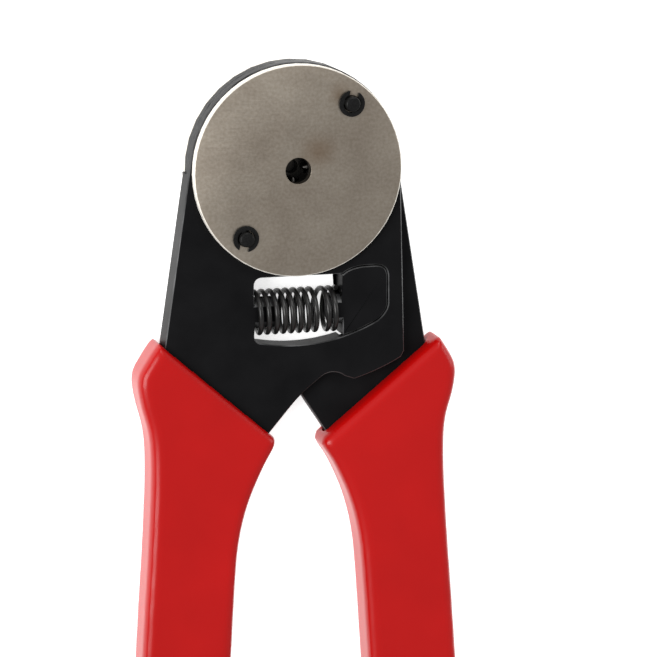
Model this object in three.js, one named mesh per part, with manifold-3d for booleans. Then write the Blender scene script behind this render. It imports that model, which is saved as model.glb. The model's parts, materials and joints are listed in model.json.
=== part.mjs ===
// Hand crimping pliers with four indenters, for turned pin and socket contacts.
// Two half-lapped steel frames pivot on a cam ring inside the round head. Squeezing the grips
// turns the ring, and its four ramps drive four indenters in towards the entry hole.
// Millimetres. The tool lies on its back: +Z is out of the front disc, +Y from the grips to the
// head, and the origin is on the head's axis, on the surface that the tool lies on.
import * as THREE from "three";
import { mergeVertices } from "three/addons/utils/BufferGeometryUtils.js";
import Module from "manifold-3d";

const wasm = await Module();
wasm.setup();

// ---- driving dimensions ----
const headRadius = 24.55;
const edgeTaper = 8.66; // degrees that each outer edge leans away from the centre line
const plateThickness = 3.0; // each lapped half of a frame
const lapGap = 0.2; // between the two lapped halves
const lapRelief = 0.25; // round the edge of the right frame's ring, in the left frame's step
const closeAngle = 9; // degrees that the right frame turns from open to closed
const runGap = 0.3; // between a moving frame and what it passes
const seatGap = 0.1; // between a piece and what holds it

const gripCover = 2.7; // vinyl over each face of a frame
const gripLength = 134; // from the inner mouth corner's height to the end
const gripWall = 2.7;
const gripEdgeRadius = 2;
const gripEndRadius = 8;

const windowLeft = -10; // wall that the main spring pushes on
const windowRight = 21.6;
const windowWall = 1.65; // from the head's edge to the window
const windowHeight = 14.4;
const shoulderRise = 1.7; // how far the window's right end reaches above its straight top
const lugGap = 0.25; // between the lug and the window
const windowReach = 1; // how far a leg and a lug reach past the window's edge before it is cut
const lugFace = 10.8; // face of the right frame's lug, at rest
const barDepth = 6.7; // of the bar under the window
const skirtDepth = 10.4; // from the window to the front plate's lower edge

const springDrop = 6.8; // from the window's top to the spring's axis
const springRadius = 5.35; // outer
const springWire = 1.2;
const springTurns = 10;
const pegClearance = 0.55; // inside the spring's coils
const leftPegLength = 5.4;
const rightPegLength = 2.8;

const discThickness = 2.2;
const discRim = 0.3; // that the frames stand out past the discs
const discChamfer = 0.25;
const entryRadius = 3;

const studRadius = 1.75;
const studCircle = 19.4;
const studAngle = 50.2; // degrees, and its opposite
const studProud = 1.9; // past the front disc
const studHeadRadius = 2.7;
const studHeadDepth = 1;
const clipRadius = 3;
const clipThickness = 0.6;
const grooveRadius = 1.15;

const ringRadius = 16; // cam ring, outside
const ringKeyRadius = 0.9;
const ringKeyAngle = 320;
const hubRadius = 8.3;
const hubPinRadius = 0.9;
const hubPinCircle = 6;
const shankRadius = 1.4; // indenter
const followerRadius = 2.4;
const tipRadius = 0.5;
const tipReach = 2.2; // from the head's axis to an indenter's tip, open
const indenterTravel = 1.2;
const returnWire = 0.36;
const returnTurns = 3.5;

const locatorRadius = 4;
const locatorPocketRadius = 1.6;
const lockRingRadius = 6.8;
const lockRingThickness = 1.1;

// ---- heights and radii that follow from them ----
const gripThickness = 2 * (plateThickness + gripCover) + lapGap;
const midZ = gripThickness / 2;
const rearFace = midZ - lapGap / 2 - plateThickness;
const rearLap = midZ - lapGap / 2;
const frontLap = midZ + lapGap / 2;
const frontFace = frontLap + plateThickness;
const discRadius = headRadius - discRim;
const frontDiscRear = frontFace + seatGap;
const frontDiscFace = frontDiscRear + discThickness;
const rearDiscFront = rearFace - seatGap;
const rearDiscFace = rearDiscFront - discThickness;
const windowInner = headRadius + windowWall; // radii about the head's axis
const windowOuter = windowInner + windowHeight;
const skirtRadius = windowOuter + skirtDepth;
const barOuter = windowOuter + barDepth;
const windowShoulder = shoulderRise - headRadius;
const springY = -(windowInner + springDrop);
const footInner = barOuter + runGap;
const headRelief = headRadius + lapRelief;
const barEnd = degrees(Math.asin(lugFace / windowOuter)); // from straight down
const legTopAngle = 180 - edgeTaper + degrees(Math.acos(headRadius / headRelief)) + 1;
const legStart = barEnd + closeAngle + 0.8;
const camRise = indenterTravel / radians(closeAngle); // per radian of turn

function radians(angle) {
  return (angle * Math.PI) / 180;
}

function degrees(angle) {
  return (angle * 180) / Math.PI;
}

// A point at a radius and an angle, in degrees from +X.
function polar(radius, angle) {
  return new THREE.Vector2(radius * Math.cos(radians(angle)), radius * Math.sin(radians(angle)));
}

// Where a circle about the head's axis crosses a vertical line, below the axis.
function below(radius, x) {
  return -Math.sqrt(radius * radius - x * x);
}

// How far out a frame's outer edge is at a height below the axis.
function edgeOut(y) {
  return headRadius / Math.cos(radians(edgeTaper)) - y * Math.tan(radians(edgeTaper));
}

// Neck and grip points are given on the left, and measured from the skirt's height. Those near
// the outer edge are also measured from that edge, and the others from the centre line.
function outerPoint(x, y) {
  return new THREE.Vector2(x - edgeOut(-skirtRadius), y - skirtRadius);
}

function innerPoint(x, y) {
  return new THREE.Vector2(x, y - skirtRadius);
}

// ---- solids ----
function toSolid(geometry) {
  const bare = geometry.index ? geometry.toNonIndexed() : geometry.clone();
  bare.deleteAttribute("normal");
  bare.deleteAttribute("uv");
  const merged = mergeVertices(bare, 1e-5);
  const mesh = new wasm.Mesh({
    numProp: 3,
    vertProperties: new Float32Array(merged.attributes.position.array),
    triVerts: new Uint32Array(merged.index.array),
  });
  return new wasm.Manifold(mesh);
}

function toGeometry(solid) {
  const mesh = solid.getMesh();
  const geometry = new THREE.BufferGeometry();
  geometry.setAttribute("position", new THREE.BufferAttribute(new Float32Array(mesh.vertProperties), 3));
  geometry.setIndex(new THREE.BufferAttribute(new Uint32Array(mesh.triVerts), 1));
  geometry.computeVertexNormals();
  return geometry;
}

function slab(shape, low, high, curveSegments = 10) {
  const outline = new THREE.Shape(distinct(shape.getPoints(curveSegments)));
  outline.holes = shape.holes;
  const geometry = new THREE.ExtrudeGeometry(outline, { depth: high - low, bevelEnabled: false });
  geometry.translate(0, 0, low);
  return toSolid(geometry);
}

function block(x0, x1, y0, y1, z0, z1) {
  const geometry = new THREE.BoxGeometry(x1 - x0, y1 - y0, z1 - z0);
  geometry.translate((x0 + x1) / 2, (y0 + y1) / 2, (z0 + z1) / 2);
  return toSolid(geometry);
}

// A turned piece: profile points are [radius, z], from the axis back to the axis.
function turned(profile, segments = 32) {
  const points = profile.map(([radius, z]) => new THREE.Vector2(radius, z));
  const geometry = new THREE.LatheGeometry(points, segments);
  geometry.rotateX(Math.PI / 2);
  return toSolid(geometry);
}

function rod(radius, low, high, x = 0, y = 0, segments = 16) {
  const profile = [[0, low], [radius, low], [radius, high], [0, high]];
  return turned(profile, segments).translate([x, y, 0]);
}

function distinct(outline) {
  return outline.filter((point, i) => point.distanceTo(outline.at(i - 1)) > 0.05);
}

function distanceToEdge(point, a, b) {
  const along = b.clone().sub(a);
  const share = point.clone().sub(a).dot(along) / along.lengthSq();
  return point.distanceTo(a.clone().addScaledVector(along, Math.min(1, Math.max(0, share))));
}

// An outline moved in by a distance. Points that would fall behind a sharp corner are left out.
function inset(outline, distance) {
  const turn = THREE.ShapeUtils.area(outline) > 0 ? 1 : -1;
  const count = outline.length;
  const moved = outline.map((point, i) => {
    const a = point.clone().sub(outline[(i + count - 1) % count]).normalize();
    const b = outline[(i + 1) % count].clone().sub(point).normalize();
    const normal = new THREE.Vector2(-a.y - b.y, a.x + b.x).normalize();
    const stretch = 1 / Math.max(0.3, Math.abs(normal.dot(new THREE.Vector2(-a.y, a.x))));
    return point.clone().addScaledVector(normal, turn * distance * stretch);
  });
  return moved.filter((point) => outline.every((corner, i) => {
    return distanceToEdge(point, corner, outline[(i + 1) % count]) > 0.995 * distance;
  }));
}

// ---- the window and the lug that fills its right end ----
function windowOutline() {
  const path = new THREE.Path();
  const corner = 2;
  const topLeft = -headRadius;
  const bottomLeft = below(windowOuter, windowLeft + corner);
  const bottomRight = polar(windowOuter, 298);
  path.moveTo(windowLeft, topLeft - corner);
  path.lineTo(windowLeft, bottomLeft + corner);
  path.quadraticCurveTo(windowLeft, bottomLeft, windowLeft + corner, bottomLeft);
  path.absarc(0, 0, windowOuter, Math.atan2(bottomLeft, windowLeft + corner), radians(298 - 360), false);
  path.quadraticCurveTo(windowRight, bottomRight.y + corner, windowRight, bottomRight.y + 2 * corner);
  path.lineTo(windowRight, windowShoulder - 1.5 * corner);
  path.quadraticCurveTo(windowRight, windowShoulder, windowRight - 1.5 * corner, windowShoulder);
  path.lineTo(lugFace + 3 * corner, windowShoulder);
  path.quadraticCurveTo(lugFace + corner, windowShoulder, lugFace, topLeft);
  path.lineTo(windowLeft + corner, topLeft);
  path.quadraticCurveTo(windowLeft, topLeft, windowLeft, topLeft - corner);
  return distinct(path.getPoints(8));
}

function windowHole() {
  return slab(new THREE.Shape(windowOutline()), rearFace - 1, frontFace + 1);
}

// A round peg with flats level with the frame's two faces.
function springPeg(x0, x1) {
  const radius = springRadius - springWire - pegClearance;
  const round = rod(radius, x0, x1, 0, 0, 20).rotate([0, 90, 0]).translate([0, springY, midZ]);
  const flats = block(x0 - 1, x1 + 1, springY - radius - 1, springY + radius + 1, rearFace, frontFace);
  return round.intersect(flats);
}

// ---- grips: an outline for each side, made as the left one and mirrored for the right ----
const leftMouth = { outer: outerPoint(0.2, 12.9), inner: innerPoint(-5.9, -10.4) };
const rightMouth = { outer: outerPoint(-0.6, 11.4), inner: innerPoint(-6.1, -11.3) };

function gripOutline(mouth) {
  const drop = mouth.outer.y - leftMouth.outer.y;
  const end = outerPoint(-8.6, 12 - gripLength);
  const innerEnd = innerPoint(-19.9, 0).x;
  const lean = Math.tan(radians(3.7));
  const shape = new THREE.Shape();
  shape.moveTo(mouth.outer.x, mouth.outer.y);
  shape.splineThru([
    outerPoint(-2.4, 9.1 + drop * 0.3),
    outerPoint(-4.7, 4.6 + drop * 0.5),
    outerPoint(-4.2, -1 + drop * 0.5),
    outerPoint(-2.3, -9),
    outerPoint(-2.0, -19),
    outerPoint(-2.8, -35),
    outerPoint(-3.8, -49),
  ]);
  shape.lineTo(end.x + gripEndRadius * lean, end.y + gripEndRadius);
  shape.quadraticCurveTo(end.x, end.y, end.x + gripEndRadius, end.y);
  shape.lineTo(innerEnd - gripEndRadius, end.y);
  shape.quadraticCurveTo(innerEnd, end.y, innerEnd + gripEndRadius * lean, end.y + gripEndRadius);
  shape.lineTo(-15.5, -49 - skirtRadius);
  shape.splineThru([
    innerPoint(-14.4, -36),
    innerPoint(-12.2, -26.5),
    innerPoint(-8.7, -18.2),
    new THREE.Vector2(mouth.inner.x + 0.3, mouth.inner.y - 2),
    mouth.inner,
  ]);
  return distinct(shape.getPoints(4));
}

// The forged tang inside a grip, cut off square to the mouth at a depth behind it.
function tangOutline(mouth, wall) {
  return inset(gripOutline(mouth), wall);
}

function mouthCut(mouth, depth) {
  const { outer, inner } = mouth;
  const along = inner.clone().sub(outer).normalize();
  const down = new THREE.Vector2(along.y, -along.x);
  const a = outer.clone().addScaledVector(along, -30).addScaledVector(down, depth);
  const b = inner.clone().addScaledVector(along, 30).addScaledVector(down, depth);
  const c = b.clone().addScaledVector(down, -60);
  const d = a.clone().addScaledVector(down, -60);
  return slab(new THREE.Shape([a, b, c, d]), -20, 40);
}

function tang(mouth, wall, growth, depth) {
  const shape = new THREE.Shape(tangOutline(mouth, wall));
  return slab(shape, rearFace - growth, frontFace + growth).subtract(mouthCut(mouth, depth));
}

function gripShell(mouth, tangGrown) {
  const shape = new THREE.Shape(inset(gripOutline(mouth), gripEdgeRadius));
  const geometry = new THREE.ExtrudeGeometry(shape, {
    depth: gripThickness - 2 * gripEdgeRadius,
    bevelEnabled: true,
    bevelThickness: gripEdgeRadius,
    bevelSize: gripEdgeRadius,
    bevelSegments: 2,
  });
  geometry.translate(0, 0, gripEdgeRadius);
  return toSolid(geometry).subtract(tangGrown);
}

// ---- the left frame: front half-plate, full-thickness left leg and bar under the window ----
// The left neck, from the outer edge round its end, which the grip hides, to the inner edge.
function neckPoints(spread) {
  const outer = outerPoint(0, 5).y - 2 * spread;
  const heel = innerPoint(-9.8 + spread, -16.2 - 2 * spread);
  return [new THREE.Vector2(-edgeOut(outer) - spread, outer), heel, innerPoint(-6.9 + spread, -10)];
}

function frontPlateShape(spread) {
  const rightTangent = 1;
  const skirtRight = edgeOut(0) + 0.5;
  const cornerAngle = 270 + degrees(Math.asin(skirtRight / skirtRadius));
  const corner = polar(skirtRadius, cornerAngle);
  const hump = new THREE.Vector2(8.35, 4.4 - (skirtRadius + 5.15));
  const humpRadius = 4.4;
  const shape = new THREE.Shape();
  shape.moveTo(...polar(headRadius, 180 - edgeTaper).toArray());
  neckPoints(spread).forEach(({ x, y }) => shape.lineTo(x, y));
  shape.lineTo(-1.7 + spread, -3.9 - skirtRadius);
  shape.quadraticCurveTo(0.6, -1.2 - skirtRadius, 3.1, 0.7 - skirtRadius);
  shape.absarc(hump.x, hump.y, humpRadius, radians(128), radians(50), true);
  shape.absarc(0, 0, skirtRadius, radians(285.3), radians(cornerAngle - 1), false);
  shape.lineTo(corner.x, corner.y + 1);
  shape.lineTo(...polar(headRadius, rightTangent).toArray());
  shape.absarc(0, 0, headRadius, radians(rightTangent), radians(180 - edgeTaper), false);
  return shape;
}

// It reaches into the window, which is then cut through both halves at once.
function leftLegShape(spread) {
  const shape = new THREE.Shape();
  const legTop = polar(headRelief, legTopAngle);
  const inWindow = windowLeft + windowReach;
  const windowTop = below(headRelief, inWindow);
  shape.moveTo(legTop.x, legTop.y);
  shape.lineTo(-edgeOut(legTop.y), legTop.y);
  neckPoints(spread).forEach(({ x, y }) => shape.lineTo(x, y));
  shape.lineTo(-8.6, -barOuter - 5.7);
  shape.absarc(0, 0, barOuter, radians(256.8), radians(270 + barEnd), false);
  shape.absarc(0, 0, windowOuter - windowReach, radians(270 + barEnd), radians(256), true);
  shape.lineTo(inWindow, windowTop);
  const legInner = Math.atan2(windowTop, inWindow) + 2 * Math.PI;
  shape.absarc(0, 0, headRelief, legInner, radians(legTopAngle), true);
  return shape;
}

function leftFrame() {
  const bore = rod(ringRadius + seatGap, -1, gripThickness, 0, 0, 48);
  const plate = slab(frontPlateShape(0), frontLap, frontFace, 14);
  const leg = slab(leftLegShape(0), rearFace, frontLap + 0.1, 12);
  const peg = springPeg(windowLeft - 0.5, windowLeft + leftPegLength);
  let frame = plate.add(leg).subtract(windowHole()).add(peg);
  frame = frame.add(tang(leftMouth, gripWall, 0, gripWall));
  for (const { x, y } of studPlaces()) {
    frame = frame.subtract(rod(studRadius + seatGap, -1, gripThickness, x, y));
  }
  return frame.subtract(bore);
}

function leftGrip() {
  const room = slab(frontPlateShape(seatGap * 2), rearFace - seatGap, frontFace + seatGap, 6);
  const cavity = room.add(tang(leftMouth, gripWall - seatGap * 2, seatGap, 0));
  return gripShell(leftMouth, cavity);
}

// ---- the right frame: rear half-plate with the lug that stands up into the window ----
function rearPlateShape(spread) {
  const lugOuter = windowOuter - lugGap - windowReach;
  const lugFoot = radians(270 + degrees(Math.asin(lugFace / lugOuter)));
  const lugNeck = radians(270 + degrees(Math.asin(lugFace / headRadius)));
  const shape = new THREE.Shape();
  shape.moveTo(...polar(headRadius, edgeTaper).toArray());
  const outer = 3 - skirtRadius - 2 * spread;
  shape.lineTo(edgeOut(outer) + spread, outer);
  shape.lineTo(11.5 - spread, -17 - skirtRadius - 2 * spread);
  shape.lineTo(8.25 - spread, -12 - skirtRadius);
  shape.absarc(0, 0, footInner, radians(268), radians(270 + legStart), false);
  shape.absarc(0, 0, lugOuter, radians(270 + legStart), lugFoot, true);
  shape.absarc(0, 0, headRadius, lugNeck, radians(edgeTaper), true);
  return shape;
}

function studSlot(angle) {
  const half = studRadius + runGap;
  const shape = new THREE.Shape();
  const start = radians(angle - 1);
  const end = radians(angle + closeAngle + 1);
  const endCap = polar(studCircle, degrees(end));
  const startCap = polar(studCircle, degrees(start));
  shape.absarc(0, 0, studCircle + half, start, end, false);
  shape.absarc(endCap.x, endCap.y, half, end, end + Math.PI, false);
  shape.absarc(0, 0, studCircle - half, end, start, true);
  shape.absarc(startCap.x, startCap.y, half, start + Math.PI, start + 2 * Math.PI, false);
  return slab(shape, -1, gripThickness, 8);
}

function lug() {
  const outline = inset(windowOutline(), lugGap);
  const body = slab(new THREE.Shape(outline), rearFace, frontFace);
  return body.intersect(block(lugFace, windowRight, -60, 0, 0, gripThickness));
}

function rightFrame() {
  const peg = springPeg(lugFace - rightPegLength, lugFace + 0.5);
  const key = polar(ringRadius + seatGap / 2, ringKeyAngle);
  let frame = slab(rearPlateShape(0), rearFace, rearLap, 14).add(lug()).add(peg);
  frame = frame.add(rightTang(gripWall, 0, gripWall + 1));
  frame = frame.subtract(rod(ringRadius + seatGap, -1, gripThickness, 0, 0, 48));
  frame = frame.subtract(studSlot(studAngle)).subtract(studSlot(studAngle + 180));
  return frame.subtract(rod(ringKeyRadius + seatGap / 2, -1, gripThickness, key.x, key.y));
}

function flipped(solid) {
  return solid.mirror([1, 0, 0]);
}

function rightTang(wall, growth, depth) {
  return flipped(tang(rightMouth, wall, growth, depth));
}

function rightGrip() {
  const room = slab(rearPlateShape(seatGap * 2), rearFace - seatGap, rearLap + seatGap, 6);
  const cavity = room.add(rightTang(gripWall - seatGap * 2, seatGap, gripWall + 1 - seatGap * 2));
  return flipped(gripShell(rightMouth, flipped(cavity)));
}

// ---- head: discs, studs and retaining clips ----
function studPlaces() {
  return [polar(studCircle, studAngle), polar(studCircle, studAngle + 180)];
}

// A stud's countersunk head. With a gap, it is the seat that the head lies in.
function studHead(gap) {
  return [
    [0, rearDiscFace - gap],
    [studHeadRadius + gap, rearDiscFace - gap],
    [studRadius + gap, rearDiscFace + studHeadDepth + gap],
  ];
}

function stud() {
  const grooveLow = frontDiscFace + seatGap / 2;
  const grooveHigh = grooveLow + clipThickness + seatGap;
  const end = frontDiscFace + studProud;
  return turned([
    ...studHead(0),
    [studRadius, grooveLow],
    [grooveRadius, grooveLow],
    [grooveRadius, grooveHigh],
    [studRadius, grooveHigh],
    [studRadius, end - 0.3],
    [studRadius - 0.3, end],
    [0, end],
  ], 16);
}

// A snap ring for a grooved stud: a C with three inner lobes, pushed on from its open side.
function clip() {
  const gap = seatGap / 2;
  const ring = rod(clipRadius, 0, clipThickness, 0, 0, 32);
  const pocket = rod(studRadius + 0.25, -1, 2, 0, 0, 24);
  let body = ring.subtract(pocket);
  for (const angle of [90, 210, 330]) {
    const lobe = block(0, clipRadius - 0.4, -0.55, 0.55, 0, clipThickness).rotate([0, 0, angle + 90]);
    body = body.add(lobe);
  }
  const slot = block(-1.05, 1.05, 0, clipRadius + 1, -1, 2);
  return body.subtract(rod(grooveRadius + gap, -1, 2)).subtract(slot);
}

function discProfile(low, high, hole, chamferLow, chamferHigh) {
  return [
    [hole, low],
    [discRadius - chamferLow, low],
    [discRadius, low + chamferLow],
    [discRadius, high - chamferHigh],
    [discRadius - chamferHigh, high],
    [hole, high],
    [hole, low],
  ];
}

function frontDisc() {
  let disc = turned(discProfile(frontDiscRear, frontDiscFace, entryRadius, 0.1, discChamfer), 56);
  for (const { x, y } of studPlaces()) {
    disc = disc.subtract(rod(studRadius + seatGap, 0, 40, x, y));
  }
  for (const { x, y } of hubPinPlaces()) {
    disc = disc.subtract(rod(hubPinRadius + seatGap, 0, frontDiscFace - 0.8, x, y, 16));
  }
  return disc;
}

function rearDisc() {
  let disc = turned(discProfile(rearDiscFace, rearDiscFront, locatorRadius + seatGap, discChamfer, 0.1), 56);
  const lockSeat = rod(lockRingRadius + seatGap, -1, rearDiscFace + lockRingThickness + seatGap, 0, 0, 40);
  disc = disc.subtract(lockSeat);
  for (const { x, y } of studPlaces()) {
    const shank = [[studRadius + seatGap, rearDiscFront + 1], [0, rearDiscFront + 1]];
    disc = disc.subtract(turned([...studHead(seatGap), ...shank], 16).translate([x, y, 0]));
  }
  return disc;
}

// ---- crimp mechanism ----
function hubPinPlaces() {
  return [polar(hubPinCircle, 45), polar(hubPinCircle, 225)];
}

// The hub stands still between the discs and guides the four indenters in radial bores.
function guideHub() {
  let hub = turned([
    [entryRadius, rearFace + seatGap],
    [hubRadius, rearFace + seatGap],
    [hubRadius, frontFace],
    [entryRadius, frontFace],
    [entryRadius, rearFace + seatGap],
  ], 40);
  const locatorTop = midZ - shankRadius - 0.5;
  hub = hub.subtract(rod(locatorRadius + seatGap, 0, locatorTop, 0, 0, 40));
  for (const angle of [0, 90]) {
    const bore = rod(shankRadius + seatGap, -hubRadius - 1, hubRadius + 1).rotate([0, 90, angle]);
    hub = hub.subtract(bore.translate([0, 0, midZ]));
  }
  for (const { x, y } of hubPinPlaces()) {
    hub = hub.subtract(rod(hubPinRadius + seatGap, frontFace - 1.6, 40, x, y, 16));
  }
  return hub;
}

function hubPin({ x, y }) {
  return rod(hubPinRadius, frontFace - 1.5, frontDiscFace - 0.9, x, y, 16);
}

const followerCentre = hubRadius + 2 * indenterTravel + seatGap;

// A pin with a cone tip and a domed head that rides the cam, along +X.
function indenter() {
  const profile = [[0, tipReach], [tipRadius, tipReach], [shankRadius, tipReach + 2]];
  profile.push([shankRadius, followerCentre], [followerRadius, followerCentre]);
  for (let step = 1; step <= 4; step += 1) {
    const angle = radians(step * 22.5);
    const radius = step === 4 ? 0 : followerRadius * Math.cos(angle);
    profile.push([radius, followerCentre + followerRadius * Math.sin(angle)]);
  }
  return turned(profile, 16).rotate([0, 90, 0]).translate([0, 0, midZ]);
}

class Helix extends THREE.Curve {
  constructor(radius, start, end, turns, closedTurns) {
    super();
    Object.assign(this, { radius, start, end, turns, closedTurns });
  }

  // Close coils at both ends and open ones between, along X.
  getPoint(t, target = new THREE.Vector3()) {
    const turn = t * this.turns;
    const ease = this.closedTurns;
    const middle = this.turns - 2 * ease;
    const slow = 0.55;
    const total = 2 * ease * slow + middle;
    let travelled = Math.min(turn, ease) * slow;
    travelled += Math.max(0, Math.min(turn, this.turns - ease) - ease);
    travelled += Math.max(0, turn - (this.turns - ease)) * slow;
    const x = this.start + ((this.end - this.start) * travelled) / total;
    const angle = turn * 2 * Math.PI;
    return target.set(x, this.radius * Math.cos(angle), this.radius * Math.sin(angle));
  }
}

function coil(radius, wire, start, end, turns, closedTurns, steps, sides) {
  const section = new THREE.Shape();
  for (let side = 0; side < 2 * sides; side += 1) {
    const corner = polar(wire / 2, (side * 180) / sides);
    if (side === 0) section.moveTo(corner.x, corner.y);
    else section.lineTo(corner.x, corner.y);
  }
  const path = new Helix(radius - wire / 2, start + wire / 2, end - wire / 2, turns, closedTurns);
  const geometry = new THREE.ExtrudeGeometry(section, {
    steps: Math.round(turns * steps),
    extrudePath: path,
    bevelEnabled: false,
  });
  return toSolid(geometry);
}

function mainSpring() {
  const [left, right] = [windowLeft + seatGap, lugFace - seatGap];
  const spring = coil(springRadius, springWire, left, right, springTurns, 1.5, 9, 3);
  return spring.translate([0, springY, midZ]);
}

function returnSpring() {
  const outer = shankRadius + returnWire + 0.3;
  const [inner, far] = [hubRadius + seatGap, followerCentre - seatGap];
  const spring = coil(outer, returnWire, inner, far, returnTurns, 0.5, 7, 2);
  return spring.translate([0, 0, midZ]);
}

// The ring's inside is four ramps. As it turns clockwise, each ramp comes in at camRise.
function camOutline() {
  const lean = Math.atan(camRise / (followerCentre + followerRadius));
  const rest = followerCentre + (followerRadius + 1.6 * seatGap) / Math.cos(lean);
  const points = [];
  for (let lobe = 0; lobe < 4; lobe += 1) {
    for (let step = 0; step <= 8; step += 1) {
      const angle = -12 + (step * 33) / 8;
      points.push(polar(rest - camRise * radians(angle), lobe * 90 + angle));
    }
  }
  return points;
}

function camRing() {
  const shape = new THREE.Shape();
  shape.absarc(0, 0, ringRadius, 0, 2 * Math.PI, false);
  shape.holes.push(new THREE.Path(camOutline()));
  const key = polar(ringRadius + seatGap / 2, ringKeyAngle);
  const ring = slab(shape, rearFace + seatGap / 2, frontFace - seatGap / 2, 32);
  return ring.subtract(rod(ringKeyRadius + seatGap / 2, -1, rearLap, key.x, key.y));
}

function camKey() {
  const key = polar(ringRadius + seatGap / 2, ringKeyAngle);
  return rod(ringKeyRadius, rearFace + seatGap, rearLap - seatGap, key.x, key.y, 16);
}

// ---- locator: the stop that the contact's nose meets, screwed into the rear disc ----
function locator() {
  const top = midZ - shankRadius - 0.6;
  let plug = turned([
    [0, 0],
    [locatorRadius - 0.3, 0],
    [locatorRadius, 0.3],
    [locatorRadius, top],
    [locatorPocketRadius, top],
    [locatorPocketRadius, 1.6],
    [0, 1.6],
  ], 32);
  for (const x of [-2.4, 2.4]) {
    plug = plug.subtract(rod(0.5, -1, 0.8, x, 0, 12));
  }
  return plug;
}

function lockRing() {
  const low = rearDiscFace;
  const high = rearDiscFace + lockRingThickness;
  const inner = locatorRadius + seatGap;
  const section = [[inner, low], [lockRingRadius, low], [lockRingRadius, high], [inner, high]];
  let ring = turned([...section, section[0]], 40);
  for (const angle of [0, 90, 180, 270]) {
    const { x, y } = polar(lockRingRadius, angle + 45);
    ring = ring.subtract(rod(0.8, low - 1, high + 1, x, y, 12));
  }
  return ring;
}

// ---- materials and assembly ----
function material(color, roughness, metalness) {
  return new THREE.MeshStandardMaterial({ color, roughness, metalness });
}

const blackOxide = material(0x1b1b1c, 0.4, 0.6);
const satinNickel = material(0x8b8378, 0.45, 0.9);
const darkSteel = material(0x232325, 0.45, 0.8);
const hardSteel = material(0x6f7073, 0.35, 0.9);
const springSteel = material(0x2a2a2c, 0.4, 0.8);
const redVinyl = material(0xbd1c1a, 0.25, 0);

const pliers = new THREE.Group();

function place(name, solid, finish, x = 0, y = 0, z = 0, turn = 0) {
  const mesh = new THREE.Mesh(toGeometry(solid), finish);
  mesh.name = name;
  mesh.position.set(x, y, z);
  mesh.rotation.z = radians(turn);
  pliers.add(mesh);
}

place("frame_left", leftFrame(), blackOxide);
place("frame_right", rightFrame(), blackOxide);
place("grip_left", leftGrip(), redVinyl);
place("grip_right", rightGrip(), redVinyl);
place("front_disc", frontDisc(), satinNickel);
place("rear_disc", rearDisc(), satinNickel);

const [upperStud, lowerStud] = studPlaces();
const clipHeight = frontDiscFace + seatGap;
place("stud_upper", stud(), darkSteel, upperStud.x, upperStud.y);
place("stud_lower", stud(), darkSteel, lowerStud.x, lowerStud.y);
place("clip_upper", clip(), darkSteel, upperStud.x, upperStud.y, clipHeight, -14);
place("clip_lower", clip(), darkSteel, lowerStud.x, lowerStud.y, clipHeight, 167);

place("guide_hub", guideHub(), hardSteel);
hubPinPlaces().forEach((spot, i) => place(`hub_pin_${i + 1}`, hubPin(spot), hardSteel));
place("cam_ring", camRing(), hardSteel);
place("cam_key", camKey(), hardSteel);
["east", "north", "west", "south"].forEach((side, i) => {
  place(`indenter_${side}`, indenter(), hardSteel, 0, 0, 0, i * 90);
  place(`return_spring_${side}`, returnSpring(), springSteel, 0, 0, 0, i * 90);
});
place("main_spring", mainSpring(), springSteel);
place("locator", locator(), hardSteel);
place("locator_lock_ring", lockRing(), darkSteel);

export default pliers;
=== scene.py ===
import bpy
import json
import math
from mathutils import Matrix, Vector

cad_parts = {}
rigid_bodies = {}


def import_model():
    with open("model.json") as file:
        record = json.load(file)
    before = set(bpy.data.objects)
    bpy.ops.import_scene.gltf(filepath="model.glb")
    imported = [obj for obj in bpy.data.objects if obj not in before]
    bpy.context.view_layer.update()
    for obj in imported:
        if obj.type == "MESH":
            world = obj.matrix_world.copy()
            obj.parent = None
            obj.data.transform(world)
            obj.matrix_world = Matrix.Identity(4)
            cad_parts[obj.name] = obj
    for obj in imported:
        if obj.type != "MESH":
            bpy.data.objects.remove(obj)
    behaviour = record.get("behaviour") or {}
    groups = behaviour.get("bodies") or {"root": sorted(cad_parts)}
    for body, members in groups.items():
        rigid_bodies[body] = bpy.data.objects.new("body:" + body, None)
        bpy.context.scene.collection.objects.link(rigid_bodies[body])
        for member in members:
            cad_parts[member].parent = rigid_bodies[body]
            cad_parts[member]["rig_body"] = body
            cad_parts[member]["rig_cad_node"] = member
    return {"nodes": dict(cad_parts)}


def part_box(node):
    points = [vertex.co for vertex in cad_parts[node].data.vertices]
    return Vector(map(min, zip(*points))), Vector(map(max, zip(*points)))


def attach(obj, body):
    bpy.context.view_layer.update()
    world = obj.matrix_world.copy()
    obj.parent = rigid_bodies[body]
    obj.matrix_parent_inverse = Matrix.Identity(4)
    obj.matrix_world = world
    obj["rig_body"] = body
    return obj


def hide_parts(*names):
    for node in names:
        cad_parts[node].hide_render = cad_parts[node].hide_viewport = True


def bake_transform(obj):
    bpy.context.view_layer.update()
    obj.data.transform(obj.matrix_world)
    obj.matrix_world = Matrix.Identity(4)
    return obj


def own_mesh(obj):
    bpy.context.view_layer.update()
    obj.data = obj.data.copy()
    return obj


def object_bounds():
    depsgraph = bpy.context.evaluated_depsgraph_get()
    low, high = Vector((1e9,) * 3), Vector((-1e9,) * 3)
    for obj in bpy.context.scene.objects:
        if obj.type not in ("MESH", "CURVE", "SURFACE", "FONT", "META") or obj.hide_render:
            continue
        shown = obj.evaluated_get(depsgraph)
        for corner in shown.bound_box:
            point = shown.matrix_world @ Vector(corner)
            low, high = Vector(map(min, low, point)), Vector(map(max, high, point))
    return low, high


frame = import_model()
cad_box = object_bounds()


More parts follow.
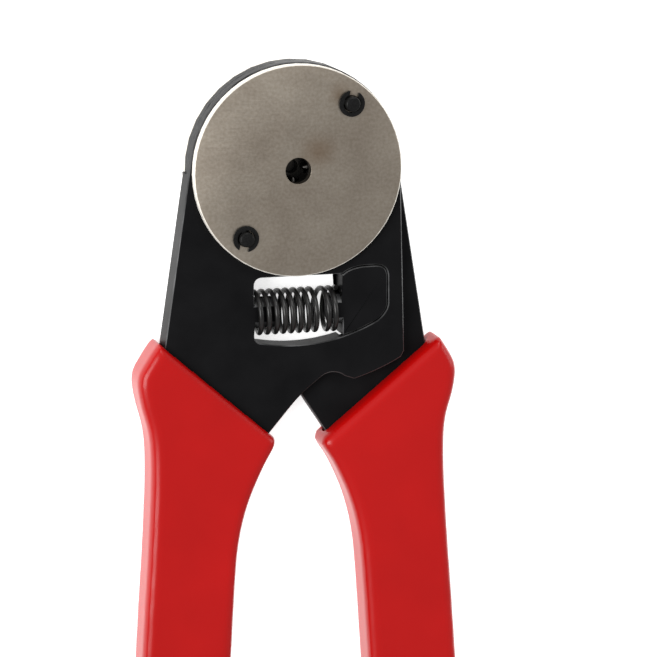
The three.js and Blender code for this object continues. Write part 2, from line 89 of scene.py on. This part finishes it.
# ---- Camera, floor and light ----
# The tool lies on its back on a backlit white sheet, under three soft lamps. The camera looks down
# on it steeply from the upper left, with the head at the top and the grips running off the bottom.
MM = 0.001
CAMERA_DISTANCE = 1.008
head_low, head_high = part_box("front_disc")
plate_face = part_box("frame_left")[1].z
aim = Vector((7.4 * MM, -37.1 * MM, plate_face))
camera_right = Vector((0.9673, -0.0047, 0.2537))
camera_back = Vector((-0.2479, 0.1961, 0.9487)).normalized()
camera_up = camera_back.cross(camera_right).normalized()
camera_right = camera_up.cross(camera_back)
camera_data = bpy.data.cameras.new("camera")
camera_data.sensor_width = 36
camera_data.lens = 241.9
camera_data.clip_start = 0.05
camera = bpy.data.objects.new("camera", camera_data)
bpy.context.scene.collection.objects.link(camera)
turn = Matrix((camera_right, camera_up, camera_back)).transposed().to_4x4()
camera.matrix_world = Matrix.Translation(aim + camera_back * CAMERA_DISTANCE) @ turn
bpy.context.scene.camera = camera
bpy.context.scene.view_settings.view_transform = "Standard"


def linear(hex_colour):
    """An sRGB hex colour as the linear colour that a shader takes."""
    channels = [int(hex_colour[i : i + 2], 16) / 255 for i in (1, 3, 5)]
    curve = [c / 12.92 if c <= 0.04045 else ((c + 0.055) / 1.055) ** 2.4 for c in channels]
    return (*curve, 1.0)


def add_node(material, kind, settings=None, links=None):
    """Adds a node. Settings name its properties or inputs, and links name inputs and sources."""
    node = material.node_tree.nodes.new(kind)
    for key, value in (settings or {}).items():
        if hasattr(node, str(key)):
            setattr(node, key, value)
        else:
            node.inputs[key].default_value = value
    for key, source in (links or {}).items():
        material.node_tree.links.new(source, node.inputs[key])
    return node


def new_material(name, settings):
    """A material with one Principled shader, and its settings on the shader's own sockets."""
    material = bpy.data.materials.new(name)
    material.use_nodes = True
    shader = material.node_tree.nodes["Principled BSDF"]
    for key, value in settings.items():
        shader.inputs[key].default_value = value
    return material, shader


def select_only(*objects):
    bpy.ops.object.select_all(action="DESELECT")
    for item in objects:
        item.select_set(True)
    bpy.context.view_layer.objects.active = objects[0]


bpy.ops.object.select_all(action="DESELECT")
bpy.ops.mesh.primitive_plane_add(size=3, location=(0, 0, cad_box[0][2]))
floor = bpy.context.object
floor.name = "floor"
paper, shader = new_material(
    "backlit white paper",
    {
        "Base Color": linear("#f6f6f5"),
        "Roughness": 0.9,
        "Emission Color": linear("#ffffff"),
        "Emission Strength": 0.7,
    },
)
floor.data.materials.append(paper)

world = bpy.data.worlds.new("studio")
bpy.context.scene.world = world
world.use_nodes = True
world.node_tree.nodes["Background"].inputs["Color"].default_value = (1, 1, 1, 1)
world.node_tree.nodes["Background"].inputs["Strength"].default_value = 0.55

lamp_aim = Vector((0, -40 * MM, 0))
for name, position, size, power in (
    ("lamp_left", (-0.75, 0.0, 0.75), 0.6, 10.0),
    ("lamp_top", (0.15, 0.85, 0.8), 0.5, 5.0),
    ("lamp_right", (0.9, 0.1, 0.3), 0.4, 1.5),
):
    lamp_data = bpy.data.lights.new(name, "AREA")
    lamp_data.size = size
    lamp_data.energy = power
    lamp = bpy.data.objects.new(name, lamp_data)
    bpy.context.scene.collection.objects.link(lamp)
    lamp.location = position
    lamp.rotation_euler = (lamp_aim - lamp.location).to_track_quat("-Z", "Y").to_euler()


# ---- Frames ----
# Two half-lapped frames, blanked and machined from steel plate and blackened. Their edges are
# broken with a small chamfer. The left one holds the window, and the right one's lug fills it.
def merged_copy(node, name, merge):
    """A copy of a CAD node, with its points closer than merge joined and no material."""
    select_only(frame["nodes"][node])
    bpy.ops.object.duplicate()
    piece = bpy.context.object
    piece.name = name
    piece.parent = None
    piece.data.materials.clear()
    bpy.ops.mesh.customdata_custom_splitnormals_clear()
    bpy.ops.object.mode_set(mode="EDIT")
    bpy.ops.mesh.select_all(action="SELECT")
    bpy.ops.mesh.remove_doubles(threshold=merge)
    bpy.ops.object.mode_set(mode="OBJECT")
    return piece


def stand_in(piece, node, body):
    """Puts a finished piece on a body in place of its CAD node."""
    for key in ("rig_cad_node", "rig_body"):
        if key in piece:
            del piece[key]
    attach(piece, body)
    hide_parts(node)


def finished_copy(node, name, body, chamfer):
    """A copy of a CAD node with its flats joined, its sharp edges broken and its curves smooth."""
    piece = merged_copy(node, name, 0.02 * MM)
    bpy.ops.object.mode_set(mode="EDIT")
    bpy.ops.mesh.select_all(action="SELECT")
    bpy.ops.mesh.dissolve_limited(angle_limit=math.radians(0.6))
    bpy.ops.object.mode_set(mode="OBJECT")
    if chamfer:
        edge_break = piece.modifiers.new("edge_break", "BEVEL")
        edge_break.width = chamfer
        edge_break.segments = 1
        edge_break.limit_method = "ANGLE"
        edge_break.angle_limit = math.radians(35)
        edge_break.use_clamp_overlap = False
        bpy.ops.object.modifier_apply(modifier="edge_break")
    bpy.ops.object.shade_smooth_by_angle(angle=math.radians(30))
    stand_in(piece, node, body)
    return piece


# Blackened steel: a thin oxide layer, nearly black and low in gloss, with an oiled sheen that
# varies in 9 mm patches, and a grain left by blasting, about 0.25 mm apart, drawn at 0.35 mm.
blackened, shader = new_material("blackened steel", {"IOR": 1.12})
place = add_node(blackened, "ShaderNodeTexCoord").outputs["Object"]
patches = add_node(
    blackened, "ShaderNodeTexNoise", {"Scale": 1 / (9 * MM), "Detail": 5.0}, {"Vector": place}
)
grain = add_node(
    blackened, "ShaderNodeTexNoise", {"Scale": 1 / (0.35 * MM), "Detail": 3.0}, {"Vector": place}
)
tone = add_node(blackened, "ShaderNodeValToRGB", links={"Fac": patches.outputs["Fac"]})
tone.color_ramp.elements[0].position = 0.3
tone.color_ramp.elements[0].color = linear("#0f0f10")
tone.color_ramp.elements[1].position = 0.75
tone.color_ramp.elements[1].color = linear("#151516")
blackened.node_tree.links.new(tone.outputs["Color"], shader.inputs["Base Color"])
gloss = add_node(
    blackened,
    "ShaderNodeMapRange",
    {"To Min": 0.27, "To Max": 0.46},
    {"Value": patches.outputs["Fac"]},
)
blackened.node_tree.links.new(gloss.outputs["Result"], shader.inputs["Roughness"])
bump = add_node(
    blackened,
    "ShaderNodeBump",
    {"Strength": 0.12, "Distance": 0.03 * MM},
    {"Height": grain.outputs["Fac"]},
)
blackened.node_tree.links.new(bump.outputs["Normal"], shader.inputs["Normal"])

# The same steel on the chamfers, made lighter and greyer as a painted highlight along the edges,
# stronger in some places than in others, over stretches of about 6 mm.
chamfer_highlight_steel, shader = new_material("blackened steel with painted chamfer highlight", {"Metallic": 0.2, "Roughness": 0.42})
place = add_node(chamfer_highlight_steel, "ShaderNodeTexCoord").outputs["Object"]
highlight_stretches = add_node(
    chamfer_highlight_steel, "ShaderNodeTexNoise", {"Scale": 1 / (6 * MM), "Detail": 6.0}, {"Vector": place}
)
tone = add_node(chamfer_highlight_steel, "ShaderNodeValToRGB", links={"Fac": highlight_stretches.outputs["Fac"]})
tone.color_ramp.elements[0].position = 0.35
tone.color_ramp.elements[0].color = linear("#1e1e1f")
tone.color_ramp.elements[1].position = 0.7
tone.color_ramp.elements[1].color = linear("#5a5a5b")
chamfer_highlight_steel.node_tree.links.new(tone.outputs["Color"], shader.inputs["Base Color"])

for node, body in (("frame_left", "left_half"), ("frame_right", "right_half")):
    piece = finished_copy(node, node + "_finished", body, 0.22 * MM)
    piece.data.materials.append(blackened)
    piece.data.materials.append(chamfer_highlight_steel)
    # Slanted faces, the chamfers, take the second material: a painted highlight along the edges.
    for face in piece.data.polygons:
        if 0.4 < abs(face.normal.z) < 0.9:
            face.material_index = 1


# ---- Grips ----
# Soft vinyl sleeves, made by dipping the heated tangs, so every edge is round and the mouth is
# a thin lip. They are pushed hard on to the tangs and stay there by their own grip.
def dipped_grip(node, name, body):
    """A grip with one even skin over it, whose edges are rounded by letting it flow."""
    piece = merged_copy(node, name, 0.004 * MM)
    skin = piece.modifiers.new("skin", "REMESH")
    skin.mode = "VOXEL"
    skin.voxel_size = 0.52 * MM
    skin.use_smooth_shade = True
    bpy.ops.object.modifier_apply(modifier="skin")
    flow = piece.modifiers.new("flow", "SMOOTH")
    flow.factor = 0.5
    flow.iterations = 8
    bpy.ops.object.modifier_apply(modifier="flow")
    bpy.ops.object.shade_smooth()
    stand_in(piece, node, body)
    return piece


# Plasticised vinyl: softly glossy, with a faint orange peel from the dip, about 1.2 mm across,
# and slight cloudiness in the red over 22 mm.
vinyl, shader = new_material(
    "dipped red vinyl",
    {"Roughness": 0.28, "IOR": 1.33, "Coat Weight": 0.05, "Coat Roughness": 0.08},
)
place = add_node(vinyl, "ShaderNodeTexCoord").outputs["Object"]
cloud = add_node(vinyl, "ShaderNodeTexNoise", {"Scale": 1 / (22 * MM), "Detail": 3.0}, {"Vector": place})
tone = add_node(vinyl, "ShaderNodeValToRGB", links={"Fac": cloud.outputs["Fac"]})
tone.color_ramp.elements[0].position = 0.3
tone.color_ramp.elements[0].color = linear("#9f0403")
tone.color_ramp.elements[1].position = 0.7
tone.color_ramp.elements[1].color = linear("#a90706")
vinyl.node_tree.links.new(tone.outputs["Color"], shader.inputs["Base Color"])
peel = add_node(vinyl, "ShaderNodeTexNoise", {"Scale": 1 / (1.2 * MM), "Detail": 1.0}, {"Vector": place})
bump = add_node(
    vinyl, "ShaderNodeBump", {"Strength": 0.1, "Distance": 0.04 * MM}, {"Height": peel.outputs["Fac"]}
)
vinyl.node_tree.links.new(bump.outputs["Normal"], shader.inputs["Normal"])

for node, body in (("grip_left", "left_half"), ("grip_right", "right_half")):
    piece = dipped_grip(node, node + "_dipped", body)
    piece.data.materials.append(vinyl)


# ---- Discs ----
# Two turned steel discs close the head, front and back, with a turned chamfer round the rim.
# They are plated with nickel and satin finished, and are held on by the two studs.
# Satin nickel: warm grey metal with a fine rolled grain along one way, about 0.12 mm apart,
# drawn at 0.25 mm to show. Brown tarnish lies beside the hole and a stud, and a painted highlight
# lightens the turned rim.
rim_width = 0.3 * MM
nickel, shader = new_material("satin nickel plate", {"Metallic": 1.0})
place = add_node(nickel, "ShaderNodeTexCoord").outputs["Object"]
stretch = add_node(nickel, "ShaderNodeMapping", {"Scale": (0.08, 1.0, 1.0)}, {"Vector": place})
stretch.inputs["Rotation"].default_value = (0, 0, math.radians(25))
lines = add_node(
    nickel,
    "ShaderNodeTexNoise",
    {"Scale": 1 / (0.25 * MM), "Detail": 4.0},
    {"Vector": stretch.outputs[0]},
)
haze = add_node(nickel, "ShaderNodeTexNoise", {"Scale": 1 / (11 * MM), "Detail": 4.0}, {"Vector": place})
tone = add_node(nickel, "ShaderNodeValToRGB", links={"Fac": haze.outputs["Fac"]})
tone.color_ramp.elements[0].position = 0.3
tone.color_ramp.elements[0].color = linear("#978d81")
tone.color_ramp.elements[1].position = 0.72
tone.color_ramp.elements[1].color = linear("#a89f93")
mottle = add_node(
    nickel, "ShaderNodeTexNoise", {"Scale": 1 / (0.7 * MM), "Detail": 5.0}, {"Vector": place}
)
spread = add_node(
    nickel, "ShaderNodeMapRange", {"From Min": 0.35, "From Max": 0.65}, {"Value": mottle.outputs["Fac"]}
)
fleck = add_node(nickel, "ShaderNodeMix", {"data_type": "RGBA", "blend_type": "MULTIPLY"})
fleck.inputs[0].default_value = 0.55
shade = add_node(nickel, "ShaderNodeValToRGB", links={"Fac": spread.outputs["Result"]})
shade.color_ramp.elements[0].color = linear("#dcd9d2")
shade.color_ramp.elements[1].color = linear("#ffffff")
nickel.node_tree.links.new(tone.outputs["Color"], fleck.inputs[6])
nickel.node_tree.links.new(shade.outputs["Color"], fleck.inputs[7])
stud_low, stud_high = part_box("stud_upper")
stud_middle = (stud_low + stud_high) / 2
plating = fleck.outputs[2]
for spot, reach in (
    (Vector((4.6 * MM, 4.2 * MM, head_high.z)), 5.5 * MM),
    (Vector((stud_middle.x - 3 * MM, stud_middle.y + 2 * MM, head_high.z)), 4.2 * MM),
):
    shift = add_node(nickel, "ShaderNodeVectorMath", {"operation": "DISTANCE"}, {0: place})
    shift.inputs[1].default_value = spot
    wobble = add_node(
        nickel,
        "ShaderNodeMath",
        {"operation": "MULTIPLY_ADD"},
        {0: haze.outputs["Fac"], 2: shift.outputs["Value"]},
    )
    wobble.inputs[1].default_value = 4 * MM
    near = add_node(
        nickel,
        "ShaderNodeMapRange",
        {
            "From Min": reach + 2 * MM,
            "From Max": 2 * MM,
            "To Max": 0.5,
            "interpolation_type": "SMOOTHSTEP",
        },
        {"Value": wobble.outputs[0]},
    )
    tarnish = add_node(nickel, "ShaderNodeMix", {"data_type": "RGBA"}, {"Factor": near.outputs["Result"]})
    tarnish.inputs[7].default_value = linear("#735a40")
    nickel.node_tree.links.new(plating, tarnish.inputs[6])
    plating = tarnish.outputs[2]
axis_distance = add_node(nickel, "ShaderNodeVectorMath", {"operation": "MULTIPLY"}, {0: place})
axis_distance.inputs[1].default_value = (1, 1, 0)
radius = add_node(
    nickel, "ShaderNodeVectorMath", {"operation": "LENGTH"}, {0: axis_distance.outputs[0]}
)
# Painted highlight: from 0.3 mm inside the disc's edge outwards, the colour is mixed towards near white.
rim_highlight_mask = add_node(
    nickel,
    "ShaderNodeMapRange",
    {"From Min": head_high.x - rim_width, "From Max": head_high.x - 0.8 * rim_width, "To Max": 0.85},
    {"Value": radius.outputs["Value"]},
)
rim_highlight = add_node(nickel, "ShaderNodeMix", {"data_type": "RGBA"}, {"Factor": rim_highlight_mask.outputs[0]})
rim_highlight.inputs[7].default_value = linear("#f2efe9")
nickel.node_tree.links.new(plating, rim_highlight.inputs[6])
nickel.node_tree.links.new(rim_highlight.outputs[2], shader.inputs["Base Color"])
satin = add_node(
    nickel, "ShaderNodeMapRange", {"To Min": 0.3, "To Max": 0.5}, {"Value": lines.outputs["Fac"]}
)
rim_rough = add_node(
    nickel,
    "ShaderNodeMath",
    {"operation": "MAXIMUM"},
    {0: satin.outputs["Result"], 1: rim_highlight_mask.outputs[0]},
)
nickel.node_tree.links.new(rim_rough.outputs[0], shader.inputs["Roughness"])
bump = add_node(
    nickel, "ShaderNodeBump", {"Strength": 0.12, "Distance": 0.01 * MM}, {"Height": lines.outputs["Fac"]}
)
nickel.node_tree.links.new(bump.outputs["Normal"], shader.inputs["Normal"])

for node in ("front_disc", "rear_disc"):
    piece = finished_copy(node, node + "_plated", "left_half", 0.08 * MM)
    piece.data.materials.append(nickel)


# ---- Studs, clips and lock ring ----
# Two headed studs hold the discs and frames together, each with an E-clip sprung into a groove
# near its front end. A slotted ring locks the locator into the rear disc.
# Phosphated spring steel: dark grey, fine crystals about 0.05 mm across, drawn at 0.3 mm.
phosphate, shader = new_material("phosphated spring steel", {"IOR": 1.22})
place = add_node(phosphate, "ShaderNodeTexCoord").outputs["Object"]
crystals = add_node(
    phosphate, "ShaderNodeTexNoise", {"Scale": 1 / (0.3 * MM), "Detail": 4.0}, {"Vector": place}
)
tone = add_node(phosphate, "ShaderNodeValToRGB", links={"Fac": crystals.outputs["Fac"]})
tone.color_ramp.elements[0].position = 0.35
tone.color_ramp.elements[0].color = linear("#0e0e0e")
tone.color_ramp.elements[1].position = 0.7
tone.color_ramp.elements[1].color = linear("#171717")
phosphate.node_tree.links.new(tone.outputs["Color"], shader.inputs["Base Color"])
rough = add_node(
    phosphate, "ShaderNodeMapRange", {"To Min": 0.25, "To Max": 0.45}, {"Value": crystals.outputs["Fac"]}
)
phosphate.node_tree.links.new(rough.outputs["Result"], shader.inputs["Roughness"])

for node in ("stud_upper", "stud_lower", "clip_upper", "clip_lower", "locator_lock_ring"):
    piece = finished_copy(node, node + "_dark", "left_half", 0.07 * MM)
    piece.data.materials.append(phosphate)


# ---- Crimp mechanism ----
# A hub with four radial bores, four indenters, the cam ring round them and the locator behind.
# All are turned and ground from hardened tool steel, and hardly any of it shows in the hole.
# Ground tool steel, darkened to a painted shade for the inside of the hole, with grinding lines about 0.1
# mm apart, drawn at 0.2 mm.
ground, shader = new_material("tool steel darkened as painted shade", {"Metallic": 1.0})
place = add_node(ground, "ShaderNodeTexCoord").outputs["Object"]
stretch = add_node(ground, "ShaderNodeMapping", {"Scale": (1.0, 1.0, 0.1)}, {"Vector": place})
lines = add_node(
    ground,
    "ShaderNodeTexNoise",
    {"Scale": 1 / (0.2 * MM), "Detail": 3.0},
    {"Vector": stretch.outputs[0]},
)
tone = add_node(ground, "ShaderNodeValToRGB", links={"Fac": lines.outputs["Fac"]})
tone.color_ramp.elements[0].position = 0.3
tone.color_ramp.elements[0].color = linear("#2b2a29")
tone.color_ramp.elements[1].position = 0.7
tone.color_ramp.elements[1].color = linear("#3d3c3a")
ground.node_tree.links.new(tone.outputs["Color"], shader.inputs["Base Color"])
rough = add_node(
    ground, "ShaderNodeMapRange", {"To Min": 0.22, "To Max": 0.38}, {"Value": lines.outputs["Fac"]}
)
ground.node_tree.links.new(rough.outputs["Result"], shader.inputs["Roughness"])

for node, body in (
    ("guide_hub", "left_half"),
    ("hub_pin_1", "left_half"),
    ("hub_pin_2", "left_half"),
    ("locator", "left_half"),
    ("cam_ring", "right_half"),
    ("cam_key", "right_half"),
    ("indenter_east", "indenter_e"),
    ("indenter_north", "indenter_n"),
    ("indenter_west", "indenter_w"),
    ("indenter_south", "indenter_s"),
):
    piece = finished_copy(node, node + "_ground", body, 0.05 * MM)
    piece.data.materials.append(ground)


# ---- Springs ----
# Cold-coiled music wire, oiled. The main spring sits over a peg on each frame in the window,
# and a small one round each indenter pushes it back out against the cam.
# Oiled music wire: dark drawn steel under a thin, uneven film of oil.
wire_steel, shader = new_material(
    "oiled music wire",
    {"Metallic": 0.5, "Roughness": 0.34, "Coat Weight": 0.12, "Coat Roughness": 0.15},
)
place = add_node(wire_steel, "ShaderNodeTexCoord").outputs["Object"]
film = add_node(
    wire_steel, "ShaderNodeTexNoise", {"Scale": 1 / (1.5 * MM), "Detail": 4.0}, {"Vector": place}
)
tone = add_node(wire_steel, "ShaderNodeValToRGB", links={"Fac": film.outputs["Fac"]})
tone.color_ramp.elements[0].position = 0.3
tone.color_ramp.elements[0].color = linear("#171717")
tone.color_ramp.elements[1].position = 0.75
tone.color_ramp.elements[1].color = linear("#2c2b2a")
wire_steel.node_tree.links.new(tone.outputs["Color"], shader.inputs["Base Color"])


def coiled_spring(name, centre, start, end, radius, wire, rises):
    """A helix along X, whose rises list gives how far each half turn goes, against the others."""
    curve = bpy.data.curves.new(name, "CURVE")
    curve.dimensions = "3D"
    curve.bevel_depth = wire / 2
    curve.bevel_resolution = 5
    curve.use_fill_caps = True
    steps = 14  # to each half turn
    span = end - start - wire
    total = sum(rises)
    points = []
    travelled = 0
    for number, rise in enumerate(rises):
        for step in range(steps + (number == len(rises) - 1)):
            along = start + wire / 2 + span * (travelled + rise * step / steps) / total
            angle = math.pi * (number + step / steps)
            across = centre.y + radius * math.cos(angle)
            points.append((along, across, centre.z + radius * math.sin(angle)))
        travelled += rise
    spline = curve.splines.new("POLY")
    spline.points.add(len(points) - 1)
    for point, co in zip(spline.points, points):
        point.co = (*co, 1)
    spring = bpy.data.objects.new(name, curve)
    bpy.context.scene.collection.objects.link(spring)
    select_only(spring)
    bpy.ops.object.convert(target="MESH")
    bpy.ops.object.mode_set(mode="EDIT")
    bpy.ops.mesh.select_all(action="SELECT")
    bpy.ops.mesh.remove_doubles(threshold=0.002 * MM)
    bpy.ops.mesh.normals_make_consistent(inside=False)
    bpy.ops.object.mode_set(mode="OBJECT")
    bpy.ops.object.shade_smooth_by_angle(angle=math.radians(50))
    return bpy.context.object


wire_diameter = 1.2 * MM
outer_radius = 5.35 * MM
spring_low, spring_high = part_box("main_spring")
head_middle = (head_low.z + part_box("rear_disc")[1].z) / 2
spring_centre = Vector((0, spring_high.y - outer_radius, head_middle))
main_spring = coiled_spring(
    "main_spring_wire",
    spring_centre,
    spring_low.x,
    spring_high.x,
    outer_radius - wire_diameter / 2,
    wire_diameter,
    [1.0] * 15 + [2.1] + [0.9] * 4,  # one wide gap, near the right end
)
main_spring.data.materials.append(wire_steel)
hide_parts("main_spring")
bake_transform(main_spring)

for side, axis in (("east", (1, 0)), ("north", (0, 1)), ("west", (-1, 0)), ("south", (0, -1))):
    node = "return_spring_" + side
    piece = finished_copy(node, node + "_wire", "left_half", 0)
    piece.data.materials.append(wire_steel)
    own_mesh(piece)
